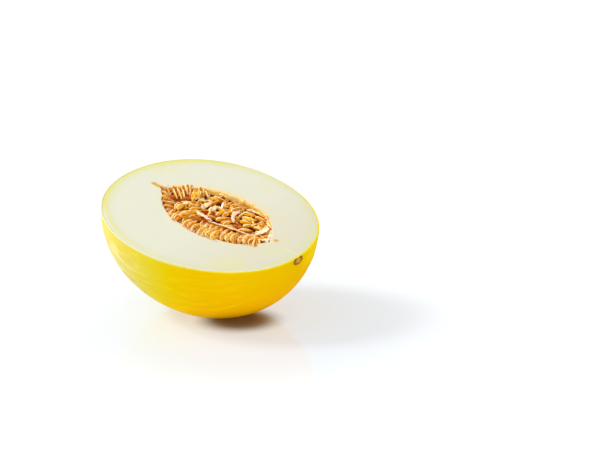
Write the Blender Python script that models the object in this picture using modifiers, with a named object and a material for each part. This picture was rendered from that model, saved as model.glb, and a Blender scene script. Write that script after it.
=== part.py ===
"""Half of a yellow honeydew melon, cut lengthwise, with its seeds still in it.

Metres, +Z up. The origin is the middle of the small flat spot that the half rests on, and +X runs
level under the fruit's long axis, towards the stem scar. The half leans, so its shapes are made in
the fruit's own frame, and an empty carries the lean. In that frame the origin is on the fruit's
axis, midway along it, x points to the stem scar and z points up, square to the cut face.
"""

import math
import random

import bmesh
import bpy
from mathutils import Euler, Matrix, Vector

# The whole fruit, before it was cut
FRUIT_RADIUS = 0.074
FRUIT_HALF_LENGTH = 0.084
FRUIT_FULLNESS = 2.05  # exponent of the outline, where 2 is an ellipse
STEM_END_TAPER = 0.019  # share by which the stem end is slimmer, and the other end fuller

# The cut, and how the half lies
CUT_HEIGHT = 0.0021  # of the cut face above the fruit's axis
LEAN_ALONG = math.radians(14.1)  # stem end down
LEAN_ACROSS = math.radians(11.9)  # towards -Y
REST_DEPTH = 0.0027  # of rind missing under the half, which leaves a flat spot 40 mm across

# The marks at the two ends of the fruit
SCAR_RING_RADIUS = 0.0037
SCAR_RING_WIDTH = 0.0009
SCAR_RING_RISE = 0.0006
SCAR_PIT_RADIUS = 0.0019
SCAR_PIT_DEPTH = 0.0007
BLOSSOM_DOT_RADIUS = 0.0016
BLOSSOM_DOT_RISE = 0.0004
MARK_RADII = (0.0, 0.0010, 0.0019, 0.0027, 0.0033, 0.0038, 0.0044, 0.0052)

# The seed cavity, turned round an axis of its own
CAVITY_RADIUS = 0.0284
CAVITY_AXIS = Vector((0.0, 0.0015, CUT_HEIGHT - 0.0004))
CAVITY_WIDEST = 0.008  # place along the fruit
CAVITY_FULLNESS = 2.6  # exponent of its outline
BLOSSOM_END = (0.0586, 1.0)  # how far the cavity reaches to each side of its widest place, and
STEM_END = (0.0480, 0.8)  # the exponent that blunts that end
CHANNEL_RADIUS = 0.0016  # of the juice channel that runs on from the cavity's blossom end
CHANNEL_NOSE = 0.00096  # radius of its blunt tip
CHANNEL_TIP = -0.0600

# The pulp under the seeds
SEED_GAP = 0.0003  # from the seeds to the cavity's wall
PULP_GAP = 0.0007  # from the pulp to that wall
PULP_DROP = 0.0039  # of the pulp's middle below the cut face, before its trough
PULP_TILT = math.radians(2.4)  # lower on the far side
PULP_END_RADIUS = 0.0026  # the pulp stops where the cavity gets narrower than this
TROUGH = Vector((0.042, 0.021, 0.0023))  # half sizes of the hollow along its middle

# The seeds. A row along a wall has its distance from the wall, its drop and its pitch
SEED = Vector((0.0117, 0.0047, 0.0020))  # length, width and thickness
SEED_POINT = 0.38  # how much slimmer a seed gets towards its point
SEED_WAIST = 0.3  # place of its full width, as a share of the half length from its middle
SEED_MARGIN = 0.0005  # kept between a seed and the wall
NEAR_ROWS = ((0.0, 0.0, 0.0040), (0.0092, 0.0022, 0.0047))
FAR_ROWS = ((0.0, 0.0022, 0.0041), (0.0090, 0.0034, 0.0049))
NEAR_TILTS = ((-0.048, -62), (-0.028, -48), (0.004, 22), (0.055, 30))  # place, degrees to the stem
FAR_TILTS = ((-0.048, -65), (-0.010, -20), (0.015, 30), (0.055, 64))
NEAR_ROLL = math.radians(62)
FAR_ROLL = math.radians(72)
ROW_START = 0.005  # from the cavity's blossom end
ROW_STOP = 0.002  # from its stem end
ROW_PROUD = 0.0006  # of a row's upper edges over the cut face, before the row's drop
ROW_LOOSENESS = (0.12, 0.25, 0.10, 0.0007)  # most change of tilt, roll and lift, and of height
LANES = (-0.0045, 0.0025, 0.0090)  # places across the fruit of the rows that lie lengthwise
LANE_START = -0.026
LANE_STOP = 0.044
LANE_PITCH = 0.0092
LANE_DROP = 0.0060  # of those seeds' middles below the cut face
LANE_HEADING = (35, -500)  # degrees midway along the fruit, and change of them a metre
LANE_LOOSENESS = (0.35, 0.15, 0.6, 0.0010)  # most change of heading, lift and roll, and of place
LANE_HEIGHTS = (-0.0004, 0.0006)  # least and most change of height
TIP_FAN = Vector((-0.034, 0.0015, CUT_HEIGHT - 0.0030))  # middle of the fan at the blossom end
TIP_FAN_TURNS = (-56, -34, -12, 12, 34, 56)  # degrees of its seeds from the fruit's axis
TIP_FAN_REACH = 0.55  # of a seed's length, from the fan's middle to a seed's middle
TIP_FAN_LOOSENESS = (0.3, 0.1)  # most change of roll and lift
SEED_STEP = 0.0003  # by which a seed is drawn back from the wall until it is clear
RANDOM_SEED = 11

# The skin of pulp that stands as a ridge between the seeds
RIDGE_PLACE = Vector((0.024, -0.0075, CUT_HEIGHT - 0.0042))
RIDGE_SIZE = Vector((0.0240, 0.0011, 0.0032))  # half sizes
RIDGE_TURN = math.radians(7)

STEPS_ROUND_FRUIT = 60
STEPS_ROUND_CAVITY = 32
FRUIT_OUTLINE_STEPS = 30
CAVITY_OUTLINE_STEPS = 22
SEED_SEGMENTS = 6
SEED_RINGS = 5
TROUGH_SEGMENTS = 24
TROUGH_RINGS = 12
RIDGE_SEGMENTS = 16
RIDGE_RINGS = 8
SHARP_ANGLE = math.radians(35)
HUGE = 0.4  # side of the cutting blocks
LEAN_SAMPLES = 1800  # places tried on each side to find the lowest point


def fruit_radius(along):
    """Of the fruit at -1 (blossom end) to 1 (stem end) along its axis."""
    outline = max(0.0, 1.0 - abs(along) ** FRUIT_FULLNESS) ** (1.0 / FRUIT_FULLNESS)
    return FRUIT_RADIUS * outline * (1.0 - STEM_END_TAPER * along)


def fruit_end(radius, end):
    """Place along the axis where the fruit is this thick, near its end at -1 or 1."""
    share = radius / (FRUIT_RADIUS * (1.0 - STEM_END_TAPER * end))
    return end * FRUIT_HALF_LENGTH * (1.0 - share**FRUIT_FULLNESS) ** (1.0 / FRUIT_FULLNESS)


def stem_mark(radius):
    """Height of the corky ring of the stem scar, with the pit inside it."""
    ring = SCAR_RING_RISE * math.exp(-(((radius - SCAR_RING_RADIUS) / SCAR_RING_WIDTH) ** 2))
    return ring - SCAR_PIT_DEPTH * math.exp(-((radius / SCAR_PIT_RADIUS) ** 2))


def blossom_mark(radius):
    return BLOSSOM_DOT_RISE * math.exp(-((radius / BLOSSOM_DOT_RADIUS) ** 2))


def fruit_outline():
    """Points (x, radius) of the rind from the blossom end to the stem end."""
    blossom = [(fruit_end(r, -1) - blossom_mark(r), r) for r in MARK_RADII]
    stem = [(fruit_end(r, 1) + stem_mark(r), r) for r in reversed(MARK_RADII)]
    side = []
    for i in range(1, FRUIT_OUTLINE_STEPS):
        along = math.sin(math.pi * (i / FRUIT_OUTLINE_STEPS - 0.5))
        side.append((FRUIT_HALF_LENGTH * along, fruit_radius(along)))
    return blossom + side + stem


def cavity_radius(x):
    reach, bluntness = BLOSSOM_END if x < CAVITY_WIDEST else STEM_END
    along = abs(x - CAVITY_WIDEST) / reach
    return CAVITY_RADIUS * max(0.0, 1.0 - along**CAVITY_FULLNESS) ** bluntness


def cavity_places():
    """Places along the cavity, closer together near both ends."""
    middle = CAVITY_WIDEST + (STEM_END[0] - BLOSSOM_END[0]) / 2
    half = (STEM_END[0] + BLOSSOM_END[0]) / 2
    turns = [math.pi * i / CAVITY_OUTLINE_STEPS for i in range(CAVITY_OUTLINE_STEPS + 1)]
    return [middle - half * math.cos(turn) for turn in turns]


def cavity_outline():
    """Points (x, radius) of the cavity, with the channel that runs on from it."""
    outline = [(CHANNEL_TIP, 0.0), (CHANNEL_TIP + CHANNEL_RADIUS, CHANNEL_NOSE)]
    for x in cavity_places():
        least = CHANNEL_RADIUS if x < CAVITY_WIDEST else 0.0
        outline.append((x, max(cavity_radius(x), least)))
    return outline


def inner_outline(gap):
    """Points (x, radius) of the cavity less a gap to its wall."""
    places = [x for x in cavity_places() if cavity_radius(x) > PULP_END_RADIUS]
    inner = [(x, cavity_radius(x) - gap) for x in places]
    return [(inner[0][0] + gap, 0.0)] + inner + [(inner[-1][0] - gap, 0.0)]


def material(name, color, roughness):
    made = bpy.data.materials.new(name)
    made.use_nodes = True
    shader = made.node_tree.nodes["Principled BSDF"]
    shader.inputs["Base Color"].default_value = (*color, 1.0)
    shader.inputs["Roughness"].default_value = roughness
    shader.inputs["Metallic"].default_value = 0.0
    made.diffuse_color = (*color, 1.0)
    return made


def add_object(name, mesh, collection, parent=None):
    made = bpy.data.objects.new(name, mesh)
    collection.objects.link(made)
    made.parent = parent
    return made


def add_turned(name, outline, steps, collection, parent):
    """A closed shape turned round X from (x, radius) points."""
    mesh = bpy.data.meshes.new(name)
    points = [(x, 0.0, radius) for x, radius in outline]
    mesh.from_pydata(points, [(i, i + 1) for i in range(len(points) - 1)], [])
    made = add_object(name, mesh, collection, parent)
    screw = made.modifiers.new("Turn", "SCREW")
    screw.axis = "X"
    screw.steps = steps
    screw.render_steps = steps
    screw.use_merge_vertices = True
    screw.merge_threshold = 0.00001
    screw.use_normal_flip = True
    return made


def add_block(name, collection, parent):
    """A large block under or over a plane, to be placed by its middle."""
    bm = bmesh.new()
    bmesh.ops.create_cube(bm, size=HUGE)
    mesh = bpy.data.meshes.new(name)
    bm.to_mesh(mesh)
    bm.free()
    return add_object(name, mesh, collection, parent)


def add_ellipsoid(name, half_sizes, collection, parent, segments, rings):
    bm = bmesh.new()
    bmesh.ops.create_uvsphere(bm, u_segments=segments, v_segments=rings, radius=1.0)
    bmesh.ops.scale(bm, vec=half_sizes, verts=bm.verts)
    mesh = bpy.data.meshes.new(name)
    bm.to_mesh(mesh)
    bm.free()
    return add_object(name, mesh, collection, parent)


def seed_mesh():
    """One seed, its length along X with the point at +X, lying flat."""
    bm = bmesh.new()
    bmesh.ops.create_uvsphere(
        bm, u_segments=SEED_SEGMENTS, v_segments=SEED_RINGS, radius=0.5
    )
    for vert in bm.verts:
        slim = 1.0 - SEED_POINT * (2.0 * vert.co.z + SEED_WAIST)
        vert.co = Vector((vert.co.z * SEED.x, vert.co.x * SEED.y * slim, vert.co.y * SEED.z))
    bmesh.ops.recalc_face_normals(bm, faces=bm.faces)
    mesh = bpy.data.meshes.new("seed")
    bm.to_mesh(mesh)
    bm.free()
    return mesh


def in_cavity(point):
    """True where a point keeps its margin to the cavity's wall."""
    return math.hypot(point.y - CAVITY_AXIS.y, point.z - CAVITY_AXIS.z) < (
        cavity_radius(point.x) - SEED_MARGIN
    )


def seed_matrix(middle, heading, lift, roll):
    """Places a seed, first drawn back from the wall until both of its ends are in the cavity."""
    turn = Euler((roll, -lift, heading)).to_matrix()
    half = turn @ Vector((SEED.x / 2, 0.0, 0.0))
    centre = Vector((CAVITY_WIDEST, CAVITY_AXIS.y, middle.z))
    while not (in_cavity(middle + half) and in_cavity(middle - half)):
        middle = middle + (centre - middle).normalized() * SEED_STEP
    return Matrix.LocRotScale(middle, turn, None)


def read_tilt(tilts, x):
    """The tilt at x, in radians, between the named places."""
    for (x0, tilt0), (x1, tilt1) in zip(tilts, tilts[1:]):
        if x <= x1:
            share = max(0.0, (x - x0) / (x1 - x0))
            return math.radians(tilt0 + share * (tilt1 - tilt0))
    return math.radians(tilts[-1][1])


def wall_seeds(draw, side, tilts, usual_roll, row):
    """A row of seeds leaning on each other along one wall, blunt ends outwards."""
    inset, drop, pitch = row
    tilt_change, roll_change, lift_change, height_change = ROW_LOOSENESS
    usual_height = CUT_HEIGHT + ROW_PROUD - SEED.y / 2 - drop
    placed = []
    first = CAVITY_WIDEST - BLOSSOM_END[0] + ROW_START
    last = CAVITY_WIDEST + STEM_END[0] - ROW_STOP
    for i in range(int((last - first) / pitch) + 1):
        x = first + i * pitch
        out = cavity_radius(x) - SEED_MARGIN - inset
        tilt = read_tilt(tilts, x) + draw.uniform(-tilt_change, tilt_change)
        roll = usual_roll + draw.uniform(-roll_change, roll_change)
        lift = draw.uniform(-lift_change, lift_change)
        height = usual_height + draw.uniform(-height_change, height_change)
        if inset and out < inset:
            continue
        outwards = Vector((math.sin(tilt), side * math.cos(tilt), 0.0))
        middle = Vector((x, CAVITY_AXIS.y + side * out, height)) - outwards * (SEED.x / 2)
        heading = math.atan2(-outwards.y, -outwards.x)
        placed.append(seed_matrix(middle, heading, lift, -side * roll))
    return placed


def lane_seeds(draw, y, shift):
    """A row of seeds that lie loosely lengthwise in the middle."""
    heading_change, lift_change, most_roll, place_change = LANE_LOOSENESS
    placed = []
    first = LANE_START + shift
    for i in range(int((LANE_STOP - first) / LANE_PITCH) + 1):
        x = first + i * LANE_PITCH + draw.uniform(-place_change, place_change)
        usual_heading = math.radians(LANE_HEADING[0] + LANE_HEADING[1] * x)
        heading = usual_heading + draw.uniform(-heading_change, heading_change)
        lift = draw.uniform(-lift_change, lift_change)
        roll = draw.uniform(-most_roll, most_roll)
        height = CUT_HEIGHT - LANE_DROP + draw.uniform(*LANE_HEIGHTS)
        placed.append(seed_matrix(Vector((x, y, height)), heading, lift, roll))
    return placed


def tip_seeds(draw):
    """Seeds on edge that spread like a fan towards the blossom end."""
    roll_change, lift_change = TIP_FAN_LOOSENESS
    placed = []
    for degrees in TIP_FAN_TURNS:
        heading = math.radians(degrees)
        roll = math.pi / 2 + draw.uniform(-roll_change, roll_change)
        lift = draw.uniform(-lift_change, lift_change)
        outwards = Vector((-math.cos(heading), math.sin(heading), 0.0))
        place = TIP_FAN + outwards * (SEED.x * TIP_FAN_REACH)
        placed.append(seed_matrix(place, -heading, lift, roll))
    return placed


def seed_places():
    draw = random.Random(RANDOM_SEED)
    placed = tip_seeds(draw)
    for row in NEAR_ROWS:
        placed += wall_seeds(draw, -1, NEAR_TILTS, NEAR_ROLL, row)
    for row in FAR_ROWS:
        placed += wall_seeds(draw, 1, FAR_TILTS, FAR_ROLL, row)
    for number, y in enumerate(LANES):
        placed += lane_seeds(draw, y, (number % 2) * LANE_PITCH / 2)
    return placed


def add_boolean(obj, other, operation):
    """A Boolean with one object, or with every object of a collection."""
    made = obj.modifiers.new(other.name, "BOOLEAN")
    made.operation = operation
    if isinstance(other, bpy.types.Collection):
        made.operand_type = "COLLECTION"
        made.collection = other
    else:
        made.object = other


def apply_modifiers(obj):
    bpy.context.view_layer.update()
    graph = bpy.context.evaluated_depsgraph_get()
    mesh = bpy.data.meshes.new_from_object(obj.evaluated_get(graph))
    obj.modifiers.clear()
    obj.data = mesh
    mesh.name = obj.name


def shade(obj, made_material):
    obj.data.materials.clear()
    obj.data.materials.append(made_material)
    obj.data.shade_smooth()
    obj.data.set_sharp_from_angle(angle=SHARP_ANGLE)


def clear_scene():
    for obj in list(bpy.data.objects):
        bpy.data.objects.remove(obj)


def new_collection(name):
    made = bpy.data.collections.new(name)
    bpy.context.scene.collection.children.link(made)
    return made


def lowest_point(turn):
    """The point of the whole fruit, in its own frame, that is lowest once it leans."""
    down = turn.transposed() @ Vector((0.0, 0.0, -1.0))
    across = math.hypot(down.y, down.z)
    turns = [math.radians(90 * i / LEAN_SAMPLES) for i in range(1 - LEAN_SAMPLES, LEAN_SAMPLES)]
    samples = [math.sin(turn) for turn in turns]
    along = max(
        samples, key=lambda s: FRUIT_HALF_LENGTH * s * down.x + fruit_radius(s) * across
    )
    radius = fruit_radius(along)
    return Vector((FRUIT_HALF_LENGTH * along, radius * down.y / across, radius * down.z / across))


def add_lean(collection):
    """The empty that carries the fruit's frame, placed so that the flat spot is at the origin."""
    lean = add_object("lean", None, collection)
    lean.rotation_euler = (LEAN_ACROSS, LEAN_ALONG, 0.0)
    turn = lean.rotation_euler.to_matrix()
    lean.location = -(turn @ lowest_point(turn)) - Vector((0.0, 0.0, REST_DEPTH))
    return lean


def make_melon_half(parts, cutters, lean):
    half = add_turned("melon_half", fruit_outline(), STEPS_ROUND_FRUIT, parts, lean)
    knife = add_block("knife", cutters, lean)
    knife.location.z = CUT_HEIGHT + HUGE / 2
    cavity = add_turned("cavity", cavity_outline(), STEPS_ROUND_CAVITY, cutters, lean)
    cavity.location = CAVITY_AXIS
    floor = add_block("floor", cutters, None)
    floor.location.z = -HUGE / 2
    for cutter in (knife, cavity, floor):
        add_boolean(half, cutter, "DIFFERENCE")
    apply_modifiers(half)
    shade(half, material("waxy yellow rind", (0.83, 0.60, 0.02), 0.35))


def make_seed_mass(parts, cutters, lean):
    mass = add_turned("seed_mass", inner_outline(PULP_GAP), STEPS_ROUND_CAVITY, parts, lean)
    mass.location = CAVITY_AXIS
    level = add_block("pulp_level", cutters, lean)
    level.rotation_euler.x = -PULP_TILT
    upwards = level.rotation_euler.to_matrix() @ Vector((0.0, 0.0, 1.0))
    level.location = Vector((0.0, 0.0, CUT_HEIGHT - PULP_DROP)) + upwards * (HUGE / 2)
    trough = add_ellipsoid("trough", TROUGH, cutters, lean, TROUGH_SEGMENTS, TROUGH_RINGS)
    trough.location = (CAVITY_WIDEST, CAVITY_AXIS.y, CUT_HEIGHT - PULP_DROP)
    add_boolean(mass, level, "DIFFERENCE")
    add_boolean(mass, trough, "DIFFERENCE")

    seeds = new_collection("seeds")
    shape = seed_mesh()
    for number, place in enumerate(seed_places()):
        add_object(f"seed_{number}", shape, seeds, lean).matrix_local = place
    ridge = add_ellipsoid("ridge", RIDGE_SIZE, seeds, lean, RIDGE_SEGMENTS, RIDGE_RINGS)
    ridge.location = RIDGE_PLACE
    ridge.rotation_euler.z = RIDGE_TURN
    add_boolean(mass, seeds, "UNION")
    room = add_turned("room", inner_outline(SEED_GAP), STEPS_ROUND_CAVITY, cutters, lean)
    room.location = CAVITY_AXIS
    add_boolean(mass, room, "INTERSECT")
    apply_modifiers(mass)
    for obj in list(seeds.objects):
        bpy.data.objects.remove(obj)
    bpy.data.collections.remove(seeds)
    shade(mass, material("amber seeds", (0.78, 0.37, 0.07), 0.4))


def main():
    clear_scene()
    parts = new_collection("honeydew melon half")
    cutters = new_collection("cutters")
    lean = add_lean(parts)
    make_melon_half(parts, cutters, lean)
    make_seed_mass(parts, cutters, lean)
    for cutter in cutters.objects:
        cutter.hide_render = True
        cutter.display_type = "WIRE"
    cutters.hide_render = True


main()
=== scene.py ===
"""The looks of the cut half of a yellow honeydew melon, in metres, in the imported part's frame.

The pieces are made in the fruit's own frame, as in the part: the origin is on the fruit's axis, midway
along it, x points to the stem scar and z points up, square to the cut face. Each mesh is then leaned
into the part's frame, and the finishes lean their coordinates back, so they read the fruit's own.
"""

import math
import random

import bpy
import numpy as np
from mathutils import Euler, Matrix, Vector, noise


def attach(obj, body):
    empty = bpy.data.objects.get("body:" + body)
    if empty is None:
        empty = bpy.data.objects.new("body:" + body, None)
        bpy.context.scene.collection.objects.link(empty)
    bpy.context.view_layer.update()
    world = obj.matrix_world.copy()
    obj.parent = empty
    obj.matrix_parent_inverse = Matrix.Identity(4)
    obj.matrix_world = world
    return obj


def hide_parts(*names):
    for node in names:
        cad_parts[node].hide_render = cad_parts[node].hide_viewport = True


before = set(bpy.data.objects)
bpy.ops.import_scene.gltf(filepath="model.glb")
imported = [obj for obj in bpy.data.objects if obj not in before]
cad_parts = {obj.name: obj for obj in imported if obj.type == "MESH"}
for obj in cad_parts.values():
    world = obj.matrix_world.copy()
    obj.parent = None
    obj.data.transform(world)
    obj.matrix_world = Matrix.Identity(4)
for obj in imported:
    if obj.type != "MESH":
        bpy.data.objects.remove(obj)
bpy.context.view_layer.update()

# The fruit and its cut, as in the part
FRUIT_RADIUS = 0.074
FRUIT_HALF_LENGTH = 0.084
FRUIT_FULLNESS = 2.05
STEM_END_TAPER = 0.019
CUT_HEIGHT = 0.0021
LEAN_ALONG = math.radians(14.1)
LEAN_ACROSS = math.radians(11.9)
REST_DEPTH = 0.0027

# The seed cavity, as in the part
CAVITY_RADIUS = 0.0284
CAVITY_AXIS = Vector((0.0, 0.0015, CUT_HEIGHT - 0.0004))
CAVITY_WIDEST = 0.008
CAVITY_FULLNESS = 2.6
BLOSSOM_END = (0.0586, 1.0)  # how far it reaches from its widest place, and how blunt it is there
STEM_END = (0.0480, 0.8)
CHANNEL_RADIUS = 0.0016
CHANNEL_TIP = -0.0600
CHANNEL_START = -0.048  # beyond it, the mouth is no more than the juice channel
NEAR_SWELL = 0.0026  # of the near wall, inwards
NEAR_SWELL_PLACE = 0.018  # of its middle, along the fruit
NEAR_SWELL_REACH = 0.017  # on each side of its middle

# The seeds and their pulp, as in the part
PULP_DROP = 0.0039
PULP_TILT = math.radians(2.4)
TROUGH = Vector((0.042, 0.021, 0.0023))
SEED = Vector((0.0117, 0.0047, 0.0020))
SEED_POINT = 0.38  # how much a seed narrows towards its point
# The seeds that lie at the top: x, y, depth below the cut face and length, in millimetres, then
# heading, lift and roll in degrees, and how pale each one is, from 0 to 1. The near slats of 0.12 are
# dark and sunk deeper, as painted shade between the near slats.
TOP_SEEDS = (
    (-43.4, 0, 2.2, 9.6, 7, -15, 60, 0.28),
    (-39.8, -2.8, 2.5, 9.6, 20, -16, 70, 0.26),
    (-36.7, -5, 2.2, 9.6, 34, -12, 75, 0.33),
    (-33.4, -7.5, 1.8, 9.6, 52, -9, 80, 0.48),
    (-31.1, -12.3, 2.0, 10.4, 84, -22, 60, 0.34),
    (-23.9, -18.4, 1.4, 13.4, 129, -9, 60, 0.25),
    (-27.6, -13.7, 2.6, 10.4, 134, -10, 48, 0.45),
    (-21.4, -17.1, 0.4, 14.8, 112, -9, 60, 0.6),
    (-26.3, -8.6, 1.7, 10.4, 126, -4, 48, 0.8),
    (-15.7, -19.6, 0.2, 16, 110, -6, 41, 0.6),
    (-19.9, -12.2, 2.3, 10.4, 117, -4, 38, 0.72),
    (-13.2, -18.2, 0.7, 16.5, 99, -10, 48, 0.5),
    (-16.9, -9.8, 2.3, 10.4, 110, -4, 38, 0.56),
    (-22.1, -6.8, 0.3, 13.4, 95, -9, 30, 0.9),
    (-23.3, -2.3, 1.2, 10.4, 104, -3, 18, 1),
    (-11.3, -11.8, -0.2, 17.2, 84, -6, 55, 0.72),
    (-12.1, -6.4, 1.4, 10.4, 89, 0, 30, 0.8),
    (-3.5, -19.7, 0.5, 16, 104, -9, 50, 0.45),
    (-10.2, -15.4, 1.9, 10.4, 114, -3, 26, 0.46),
    (0.5, -20.2, 0.4, 16.5, 106, -9, 56, 0.42),
    (-3.8, -15.9, 1.9, 10.4, 114, -3, 34, 0.23),
    (4.7, -20.7, 0.4, 16.5, 108, -9, 58, 0.46),
    (-0.4, -16.6, 1.9, 10.4, 120, -3, 34, 0.26),
    (-44.3, 2.9, 2.3, 9.6, -23, -26, -80, 0.28),
    (-39.3, 4.1, 1.8, 10.9, -27, -18, -85, 0.6),
    (-36.5, 6.3, 1.8, 10.5, -28, -18, -85, 0.88),
    (-34.5, 8.4, 1.8, 10.2, -36, -19, -85, 0.5),
    (-34.6, 12.4, 1.8, 10.1, -43, -19, -75, 0.32),
    (-31.7, 12.7, 1.9, 9.6, -51, -20, -70, 0.28),
    (-26.6, 12.2, 1.6, 11.4, -51, -14, -15, 0.48),
    (-23.1, 13.7, 1.8, 13.1, -54, -14, -50, 0.5),
    (-20.9, 19.9, 1.9, 9.6, -22, -21, -80, 0.6),
    (-13.2, 19.6, 2.3, 9.6, 18, -4, 36, 0.6),
    (-11.2, 22.7, 1.7, 9.6, 29, -8, -70, 0.6),
    (-10.1, 27, 1.1, 9.8, 10, -6, -70, 0.55),
    (-19.9, 11.4, 2.5, 10.4, 100, 6, 50, 0.7),
    (-20.4, 7.5, 3.3, 9.6, 32, -1, 20, 0.4),
    (-17.7, 2.2, 1.8, 9.6, 60, 0, 40, 0.7),
    (-14.4, -0.7, 1.7, 10, 64, 1, 45, 0.8),
    (-11.5, -3.8, 1.8, 9.6, 69, 2, 45, 0.85),
    (-9.4, -9.2, 2.0, 10.1, 72, 0, 50, 0.5),
    (-11.7, 8.9, 1.5, 10.6, 85, 3, 36, 1),
    (-4.2, 9.1, 1.2, 10.2, 78, 3, 36, 1),
    (-2.4, 2.8, 2.3, 9.6, 118, 14, 15, 0.5),
    (-10.6, 17.6, 2.9, 9.6, 80, 4, 30, 0.4),
    (-8.4, 3.8, 3.7, 9.6, 78, 6, 40, 0.35),
    (9.8, 3.8, 2.1, 12, 57, 1, 50, 0.82),
    (2.7, 8.7, 2.3, 9.8, 84, 4, 40, 0.45),
    (6.9, 11, 2.0, 9.6, 85, 5, 35, 0.6),
    (15.3, 2.4, 2.6, 9.6, 76, 4, 30, 0.8),
    (-4.1, 20, 1.7, 9.6, 115, 9, -20, 0.6),
    (-0.7, 21, 1.9, 9.6, 98, 4, 30, 0.7),
    (3.7, 24.7, 1.9, 10, 72, 1, 40, 0.75),
    (11.4, 26.3, 2.3, 9.6, 37, 1, 30, 0.3),
    (7, 21.4, 2.1, 9.6, 71, 4, 60, 0.8),
    (10.9, 18.2, 2.0, 9.6, 84, 7, 65, 0.9),
    (15.3, 19.2, 2.0, 9.6, 85, 12, 70, 0.9),
    (20.2, 21.3, 1.5, 11.1, 23, 1, 45, 0.75),
    (23.8, 16.5, 1.8, 11.3, 28, 0, 45, 0.95),
    (24.7, 12.5, 2.4, 10.2, 32, 0, 45, 0.55),
    (28.5, 10.9, 2.6, 9.6, 45, 2, 50, 0.8),
    (33.4, 15.1, 2.1, 9.6, 50, 4, 50, 0.8),
    (30.5, 22, 1.5, 10.6, 6, 1, 45, 0.4),
    (30.8, 5.5, 3.4, 9.6, 38, -3, 40, 0.45),
    (35.7, 23.4, 1.1, 10.9, -32, -5, -80, 0.6),
    (39.6, 20, 1.3, 11.9, 154, -7, 60, 0.6),
    (19.9, 25.7, 1.0, 9.6, 21, -3, 40, 0.7),
    (27.2, 26.3, 0.7, 9.6, -5, -1, 40, 0.8),
    (8.1, -20.9, 1.7, 15.5, 110, -9, 60, 0.12),
    (5, -19.4, 1.8, 10.4, 123, -2, 34, 0.43),
    (11.2, -21.1, 0.3, 16.5, 112, -9, 50, 0.66),
    (8.9, -17.9, 1.7, 10.4, 119, -2, 50, 0.64),
    (15.1, -20.2, 0.2, 16.5, 108, -9, 58, 0.78),
    (10.9, -17.1, 1.9, 10.4, 121, -3, 38, 0.45),
    (17.9, -18.8, 0.3, 17.2, 110, -8, 26, 0.6),
    (13.7, -15.9, 1.6, 10.4, 120, -2, 22, 0.72),
    (21.8, -17.8, 0.0, 17.2, 112, -8, 18, 0.74),
    (16.6, -13.8, 1.7, 10.4, 121, -2, 14, 0.76),
    (24.7, -16.2, 1.7, 15, 110, -9, 60, 0.12),
    (21.4, -14.4, 1.8, 10.4, 121, -3, 50, 0.64),
    (27.3, -15.4, 0.3, 16, 112, -9, 50, 0.64),
    (23.7, -12.8, 1.8, 10.4, 121, -2, 26, 0.72),
    (31, -13, 0.1, 17.2, 110, -8, 28, 0.82),
    (34.2, -11.4, 0.1, 16.5, 112, -8, 36, 0.8),
    (30.8, -9.1, 1.8, 10.4, 122, -3, 30, 0.7),
    (36.2, -10.1, 1.7, 15, 112, -9, 62, 0.12),
    (34.5, -8, 1.8, 10.4, 124, -3, 22, 0.5),
    (38.5, -9.1, 0.3, 16, 114, -9, 50, 0.66),
    (42, -7.2, 0.1, 17.2, 114, -8, 42, 0.72),
    (39.3, -4.7, 1.1, 10.4, 129, -3, 28, 0.5),
    (45.6, -5.6, 0.2, 16, 112, -8, 50, 0.62),
    (49.1, -5.9, 0.0, 13, 124, -4, 14, 0.56),
    (48.9, -1.2, 0.8, 10, 130, -2, 60, 0.5),
    (49.5, 6.4, 0.8, 9.6, 81, 0, 30, 0.6),
    (43.7, 4.3, 1.2, 10.3, -15, 0, 30, 0.5),
    (40.8, 15.9, 1.2, 9.6, 94, 0, 60, 0.8),
    (16.2, 28.5, 0.4, 5.9, -50, -8, 20, 0.55),
    (21.6, 27.7, 0.3, 4.5, -39, -8, 20, 0.5),
    (25.8, 27.6, 0.2, 4.2, 5, -5, 20, 0.6),
    (8.4, 29.4, 0.4, 7.1, -26, -6, 20, 0.5),
    (33.9, 25, 0.2, 6.1, -35, -4, 20, 0.6),
    (-50.1, 1.6, 0.4, 5, -7, -9, 30, 0.3),
    (-43.6, 7.3, 0.4, 5.5, -30, -8, 30, 0.22),
    (3, -12.5, 2.3, 10.4, 126, -3, 32, 0.4),
    (7.5, -12.2, 2.1, 10.4, 123, -3, 40, 0.6),
    (11.5, -11.6, 2.0, 10.4, 124, -3, 36, 0.58),
    (15.5, -10.6, 2.0, 10.4, 123, -2, 32, 0.72),
    (19.5, -9.6, 2.0, 10.4, 123, -3, 44, 0.6),
    (23.5, -8.6, 2.0, 10.4, 123, -3, 36, 0.7),
    (27.5, -7.6, 2.1, 10.4, 125, -3, 32, 0.56),
    (31.5, -6.2, 2.1, 10.4, 125, -3, 32, 0.64),
    (44.5, -1.2, 0.9, 10, 130, -4, 50, 0.75),
    (42, 1.5, 1.4, 10, 60, 0, 45, 0.55),
)
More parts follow.
